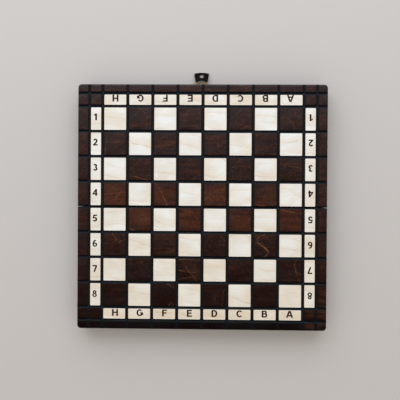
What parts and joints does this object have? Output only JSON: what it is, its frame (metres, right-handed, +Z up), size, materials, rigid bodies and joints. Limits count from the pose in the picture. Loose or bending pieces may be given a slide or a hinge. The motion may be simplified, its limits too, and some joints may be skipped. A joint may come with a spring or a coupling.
{
  "type": "folding chess set",
  "caption": "Folding wooden chess board of hinged case halves with burned grid and border letters and numbers; turned chessmen lie in trays inside, closed by a swinging clasp.",
  "frame": {"origin": "middle of the footprint, at the level of the table that the open board lies on", "axes": "+X runs along the rows of letters, +Y points to the side with the clasp, +Z up out of the playing face"},
  "size_m": [0.3122, 0.3322, 0.0293],
  "materials": {
    "playing_face": "birch plywood with stained dark squares and burned grooves, satin varnish",
    "stained_wood": "dark stained solid wood, satin varnish",
    "flocked_tray": "short green flock on a moulded tray",
    "felt": "grey felt",
    "brass": "polished brass",
    "aged_brass": "darkened brass, worn bright at the edges",
    "steel_pin": "drawn steel wire",
    "white_men": "turned boxwood, satin varnish",
    "black_men": "turned and dark stained wood, satin varnish"
  },
  "bodies": {
    "far_half": {"far_panel": "playing_face", "far_front_rail": "stained_wood", "far_hinge_rail": "stained_wood", "far_left_rail": "stained_wood", "far_right_rail": "stained_wood", "far_tray": "flocked_tray", "far_feet": "felt", "left_hinge_far_leaf": "brass", "left_hinge_pin": "steel_pin", "right_hinge_far_leaf": "brass", "right_hinge_pin": "steel_pin", "far_hinge_screws": "brass", "clasp_plate": "aged_brass", "clasp_pin": "steel_pin", "clasp_nails": "brass"},
    "near_half": {"near_panel": "playing_face", "near_front_rail": "stained_wood", "near_hinge_rail": "stained_wood", "near_left_rail": "stained_wood", "near_right_rail": "stained_wood", "near_tray": "flocked_tray", "near_feet": "felt", "left_hinge_near_leaf": "brass", "right_hinge_near_leaf": "brass", "near_hinge_screws": "brass", "clasp_stud": "aged_brass", "stud_nails": "brass"},
    "clasp": {"clasp_lever": "aged_brass"},
    "white_rook_1": {"white_rook_1": "white_men"},
    "white_knight_1": {"white_knight_1": "white_men"},
    "white_bishop_1": {"white_bishop_1": "white_men"},
    "white_queen": {"white_queen": "white_men"},
    "white_king": {"white_king": "white_men"},
    "white_bishop_2": {"white_bishop_2": "white_men"},
    "white_knight_2": {"white_knight_2": "white_men"},
    "white_rook_2": {"white_rook_2": "white_men"},
    "white_pawn_1": {"white_pawn_1": "white_men"},
    "white_pawn_2": {"white_pawn_2": "white_men"},
    "white_pawn_3": {"white_pawn_3": "white_men"},
    "white_pawn_4": {"white_pawn_4": "white_men"},
    "white_pawn_5": {"white_pawn_5": "white_men"},
    "white_pawn_6": {"white_pawn_6": "white_men"},
    "white_pawn_7": {"white_pawn_7": "white_men"},
    "white_pawn_8": {"white_pawn_8": "white_men"},
    "black_rook_1": {"black_rook_1": "black_men"},
    "black_knight_1": {"black_knight_1": "black_men"},
    "black_bishop_1": {"black_bishop_1": "black_men"},
    "black_queen": {"black_queen": "black_men"},
    "black_king": {"black_king": "black_men"},
    "black_bishop_2": {"black_bishop_2": "black_men"},
    "black_knight_2": {"black_knight_2": "black_men"},
    "black_rook_2": {"black_rook_2": "black_men"},
    "black_pawn_1": {"black_pawn_1": "black_men"},
    "black_pawn_2": {"black_pawn_2": "black_men"},
    "black_pawn_3": {"black_pawn_3": "black_men"},
    "black_pawn_4": {"black_pawn_4": "black_men"},
    "black_pawn_5": {"black_pawn_5": "black_men"},
    "black_pawn_6": {"black_pawn_6": "black_men"},
    "black_pawn_7": {"black_pawn_7": "black_men"},
    "black_pawn_8": {"black_pawn_8": "black_men"}
  },
  "joints": [
    {"name": "case_fold", "type": "hinge", "parent": "far_half", "child": "near_half", "pos_m": [0, -0.00767, 0.0013], "axis": [1, 0, 0], "range_deg": [0, 178.85]},
    {"name": "clasp_swing", "type": "hinge", "parent": "far_half", "child": "clasp", "pos_m": [-0.0018, 0.14803, 0.0083], "axis": [1, 0, 0], "range_deg": [-66, 108]},
    {"name": "lift_white_rook_1", "type": "slide", "parent": "near_half", "child": "white_rook_1", "axis": [0, 0, 1], "range_m": [-0.04, 0]},
    {"name": "lift_white_knight_1", "type": "slide", "parent": "near_half", "child": "white_knight_1", "axis": [0, 0, 1], "range_m": [-0.04, 0]},
    {"name": "lift_white_bishop_1", "type": "slide", "parent": "near_half", "child": "white_bishop_1", "axis": [0, 0, 1], "range_m": [-0.04, 0]},
    {"name": "lift_white_queen", "type": "slide", "parent": "near_half", "child": "white_queen", "axis": [0, 0, 1], "range_m": [-0.04, 0]},
    {"name": "lift_white_king", "type": "slide", "parent": "near_half", "child": "white_king", "axis": [0, 0, 1], "range_m": [-0.04, 0]},
    {"name": "lift_white_bishop_2", "type": "slide", "parent": "near_half", "child": "white_bishop_2", "axis": [0, 0, 1], "range_m": [-0.04, 0]},
    {"name": "lift_white_knight_2", "type": "slide", "parent": "near_half", "child": "white_knight_2", "axis": [0, 0, 1], "range_m": [-0.04, 0]},
    {"name": "lift_white_rook_2", "type": "slide", "parent": "near_half", "child": "white_rook_2", "axis": [0, 0, 1], "range_m": [-0.04, 0]},
    {"name": "lift_white_pawn_1", "type": "slide", "parent": "near_half", "child": "white_pawn_1", "axis": [0, 0, 1], "range_m": [-0.04, 0]},
    {"name": "lift_white_pawn_2", "type": "slide", "parent": "near_half", "child": "white_pawn_2", "axis": [0, 0, 1], "range_m": [-0.04, 0]},
    {"name": "lift_white_pawn_3", "type": "slide", "parent": "near_half", "child": "white_pawn_3", "axis": [0, 0, 1], "range_m": [-0.04, 0]},
    {"name": "lift_white_pawn_4", "type": "slide", "parent": "near_half", "child": "white_pawn_4", "axis": [0, 0, 1], "range_m": [-0.04, 0]},
    {"name": "lift_white_pawn_5", "type": "slide", "parent": "near_half", "child": "white_pawn_5", "axis": [0, 0, 1], "range_m": [-0.04, 0]},
    {"name": "lift_white_pawn_6", "type": "slide", "parent": "near_half", "child": "white_pawn_6", "axis": [0, 0, 1], "range_m": [-0.04, 0]},
    {"name": "lift_white_pawn_7", "type": "slide", "parent": "near_half", "child": "white_pawn_7", "axis": [0, 0, 1], "range_m": [-0.04, 0]},
    {"name": "lift_white_pawn_8", "type": "slide", "parent": "near_half", "child": "white_pawn_8", "axis": [0, 0, 1], "range_m": [-0.04, 0]},
    {"name": "lift_black_rook_1", "type": "slide", "parent": "far_half", "child": "black_rook_1", "axis": [0, 0, 1], "range_m": [-0.04, 0]},
    {"name": "lift_black_knight_1", "type": "slide", "parent": "far_half", "child": "black_knight_1", "axis": [0, 0, 1], "range_m": [-0.04, 0]},
    {"name": "lift_black_bishop_1", "type": "slide", "parent": "far_half", "child": "black_bishop_1", "axis": [0, 0, 1], "range_m": [-0.04, 0]},
    {"name": "lift_black_queen", "type": "slide", "parent": "far_half", "child": "black_queen", "axis": [0, 0, 1], "range_m": [-0.04, 0]},
    {"name": "lift_black_king", "type": "slide", "parent": "far_half", "child": "black_king", "axis": [0, 0, 1], "range_m": [-0.04, 0]},
    {"name": "lift_black_bishop_2", "type": "slide", "parent": "far_half", "child": "black_bishop_2", "axis": [0, 0, 1], "range_m": [-0.04, 0]},
    {"name": "lift_black_knight_2", "type": "slide", "parent": "far_half", "child": "black_knight_2", "axis": [0, 0, 1], "range_m": [-0.04, 0]},
    {"name": "lift_black_rook_2", "type": "slide", "parent": "far_half", "child": "black_rook_2", "axis": [0, 0, 1], "range_m": [-0.04, 0]},
    {"name": "lift_black_pawn_1", "type": "slide", "parent": "far_half", "child": "black_pawn_1", "axis": [0, 0, 1], "range_m": [-0.04, 0]},
    {"name": "lift_black_pawn_2", "type": "slide", "parent": "far_half", "child": "black_pawn_2", "axis": [0, 0, 1], "range_m": [-0.04, 0]},
    {"name": "lift_black_pawn_3", "type": "slide", "parent": "far_half", "child": "black_pawn_3", "axis": [0, 0, 1], "range_m": [-0.04, 0]},
    {"name": "lift_black_pawn_4", "type": "slide", "parent": "far_half", "child": "black_pawn_4", "axis": [0, 0, 1], "range_m": [-0.04, 0]},
    {"name": "lift_black_pawn_5", "type": "slide", "parent": "far_half", "child": "black_pawn_5", "axis": [0, 0, 1], "range_m": [-0.04, 0]},
    {"name": "lift_black_pawn_6", "type": "slide", "parent": "far_half", "child": "black_pawn_6", "axis": [0, 0, 1], "range_m": [-0.04, 0]},
    {"name": "lift_black_pawn_7", "type": "slide", "parent": "far_half", "child": "black_pawn_7", "axis": [0, 0, 1], "range_m": [-0.04, 0]},
    {"name": "lift_black_pawn_8", "type": "slide", "parent": "far_half", "child": "black_pawn_8", "axis": [0, 0, 1], "range_m": [-0.04, 0]}
  ]
}
